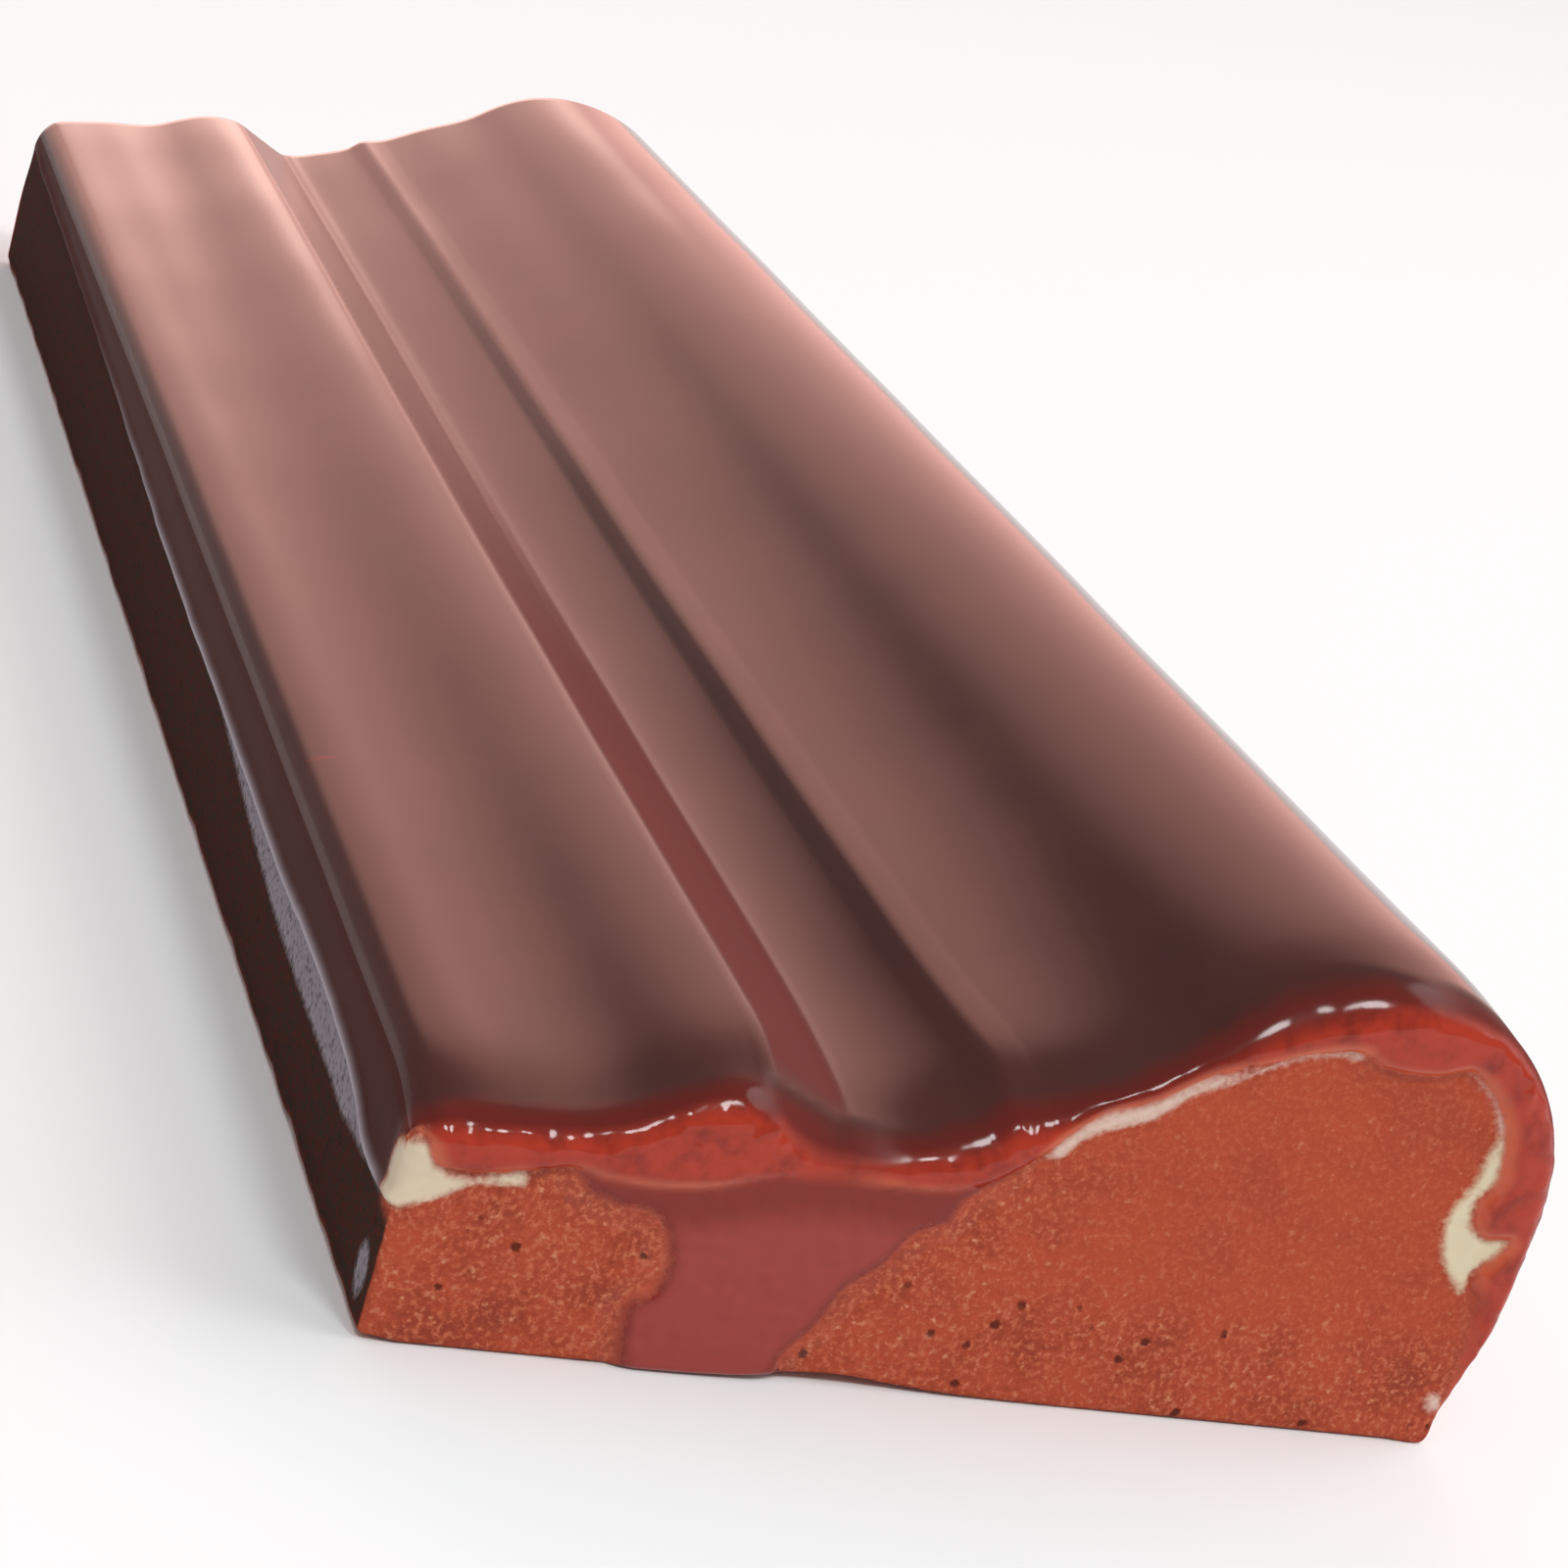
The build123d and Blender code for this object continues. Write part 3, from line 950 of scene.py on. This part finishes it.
def face_materials(surface, fields):
    """Each face's material: dull on the left wall and bare clay, plain on glaze away from its edges."""
    dull = (surface.sideways < -DULL_TURN) | (fields["coat"] < DULL_COAT)
    edges = np.max([fields[name] for name in EDGE_FIELDS], axis=0)
    edges = np.maximum(edges, fields["satin"] - fields["flank"])
    plain = (fields["coat"] > PLAIN_COAT) & (edges < PLAIN_EDGE)
    corners = [list(face) for face in surface.faces]
    return [DULL if dull[face].all() else PLAIN if plain[face].all() else GLAZED for face in corners]


def glazed_tile():
    """The tile itself, which stands for the CAD solid."""
    surface = Surface()
    press(surface)
    fields = coat_fields(surface)
    raise_coats(surface, fields)
    mesh = bpy.data.meshes.new("glazed_tile")
    mesh.from_pydata(((surface.points + np.array(CORNER)) * MM).tolist(), [], surface.faces)
    mesh.shade_smooth()
    for name in SHADER_FIELDS:
        attribute = mesh.attributes.new(name, "FLOAT", "POINT")
        attribute.data.foreach_set("value", fields[name].astype(np.float32))
    mesh.materials.append(glazed_terracotta("glazed_terracotta", GLAZE_IOR))
    mesh.materials.append(glazed_terracotta("dull_terracotta", DULL_IOR))
    mesh.materials.append(face_glaze("face_glaze"))
    mesh.polygons.foreach_set("material_index", face_materials(surface, fields))
    tile = bpy.data.objects.new("glazed_tile", mesh)
    bpy.context.scene.collection.objects.link(tile)
    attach(tile, "root")
    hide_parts(NODE)


# Stage: a pale floor, a soft dome that is bright behind the tile, and three lamps, in metres
FLOOR_RADIUS = 6.0
FLOOR_SEGMENTS = 96
FLOOR_DROP = 0.00005
FLOOR_COLOR = (0.91, 0.95, 0.96)
LAMP_DISTANCE = 2.4
# Each lamp's direction, size and power
LAMPS = {
    "front_lamp": ((0.16, -0.60, 0.78), 0.5, 12.5),
    "front_left_lamp": ((-0.22, -0.60, 0.77), 0.5, 12.5),
    "right_lamp": ((0.80, -0.05, 0.60), 2.4, 30.0),
}
DOME_STRENGTH = 1.85
DOME_BRIGHT = (1.0, 0.55, 0.48)
DOME_GLOW = (2.0, 1.24, 1.07)
DOME_LOW = (0.17, 0.165, 0.165)
DOME_OVERHEAD = (0.22, 0.22, 0.22)
DOME_CENTER = (0.36, 0.92, 0.14)
DOME_SPREAD = (0.63, 0.88)
DOME_HEIGHTS = (0.35, 0.75)
DOME_LEFT = (-0.36, -0.16)
GLOW_CENTER = (0.10, 0.975, 0.20)
GLOW_SPREAD = (0.981, 0.996)
GLOW_HEIGHTS = (0.325, 0.225)


def floor():
    """A pale round floor under the tile."""
    mesh = bpy.data.meshes.new("floor")
    shape = bmesh.new()
    bmesh.ops.create_circle(shape, cap_ends=True, segments=FLOOR_SEGMENTS, radius=FLOOR_RADIUS)
    shape.to_mesh(mesh)
    shape.free()
    material, nodes = new_material("floor")
    shade(nodes, "ShaderNodeBsdfDiffuse", {"Color": FLOOR_COLOR})
    mesh.materials.append(material)
    ground = bpy.data.objects.new("floor", mesh)
    ground.location.z = CAD_LOW.z - FLOOR_DROP
    bpy.context.scene.collection.objects.link(ground)


def dome_patch(nodes, direction, center, spread):
    """How far a direction lies in the patch of the dome around this centre."""
    return nodes.step(*spread, nodes.vector("DOT_PRODUCT", direction, center).outputs["Value"])


def dome():
    """The light all around: dim, with a broad bright patch behind the tile and a glow low in it."""
    world = bpy.data.worlds.new("dome")
    world.use_nodes = True
    bpy.context.scene.world = world
    nodes = Nodes(world.node_tree)
    direction = nodes.new("ShaderNodeTexCoord").outputs["Generated"]
    axes = nodes.new("ShaderNodeSeparateXYZ", {"Vector": direction})
    height = axes.outputs["Z"]
    around = nodes.mix(DOME_LOW, DOME_OVERHEAD, nodes.step(*DOME_HEIGHTS, height))
    bright = dome_patch(nodes, direction, DOME_CENTER, DOME_SPREAD)
    bright = nodes.math("MULTIPLY", bright, nodes.step(*DOME_LEFT, axes.outputs["X"]))
    color = nodes.mix(around, DOME_BRIGHT, bright)
    glow = dome_patch(nodes, direction, GLOW_CENTER, GLOW_SPREAD)
    glow = nodes.math("MULTIPLY", glow, nodes.step(*GLOW_HEIGHTS, height))
    color = nodes.mix(color, DOME_GLOW, glow)
    light = nodes.new("ShaderNodeBackground", {"Color": color, "Strength": DOME_STRENGTH})
    nodes.new("ShaderNodeOutputWorld", {"Surface": light.outputs[0]})


def lamp(name, toward, size, power):
    """A round lamp in this direction that faces the tile."""
    direction = Vector(toward).normalized()
    light = bpy.data.lights.new(name, "AREA")
    light.shape = "DISK"
    light.size = size
    light.energy = power
    holder = bpy.data.objects.new(name, light)
    holder.location = direction * LAMP_DISTANCE
    holder.rotation_mode = "QUATERNION"
    holder.rotation_quaternion = direction.to_track_quat("Z", "Y")
    bpy.context.scene.collection.objects.link(holder)


def camera():
    """The photograph's camera."""
    data = bpy.data.cameras.new("camera")
    data.sensor_width = SENSOR_WIDTH
    data.lens = FOCAL_PIXELS * SENSOR_WIDTH / PHOTO_SIZE
    data.clip_start = CLIP_START
    holder = bpy.data.objects.new("camera", data)
    holder.location = CAMERA_PLACE * MM
    holder.rotation_mode = "QUATERNION"
    holder.rotation_quaternion = camera_turn()
    bpy.context.scene.collection.objects.link(holder)
    bpy.context.scene.camera = holder


bpy.context.scene.view_settings.view_transform = "Standard"
camera()
dome()
for lamp_name, settings in LAMPS.items():
    lamp(lamp_name, *settings)
floor()
glazed_tile()
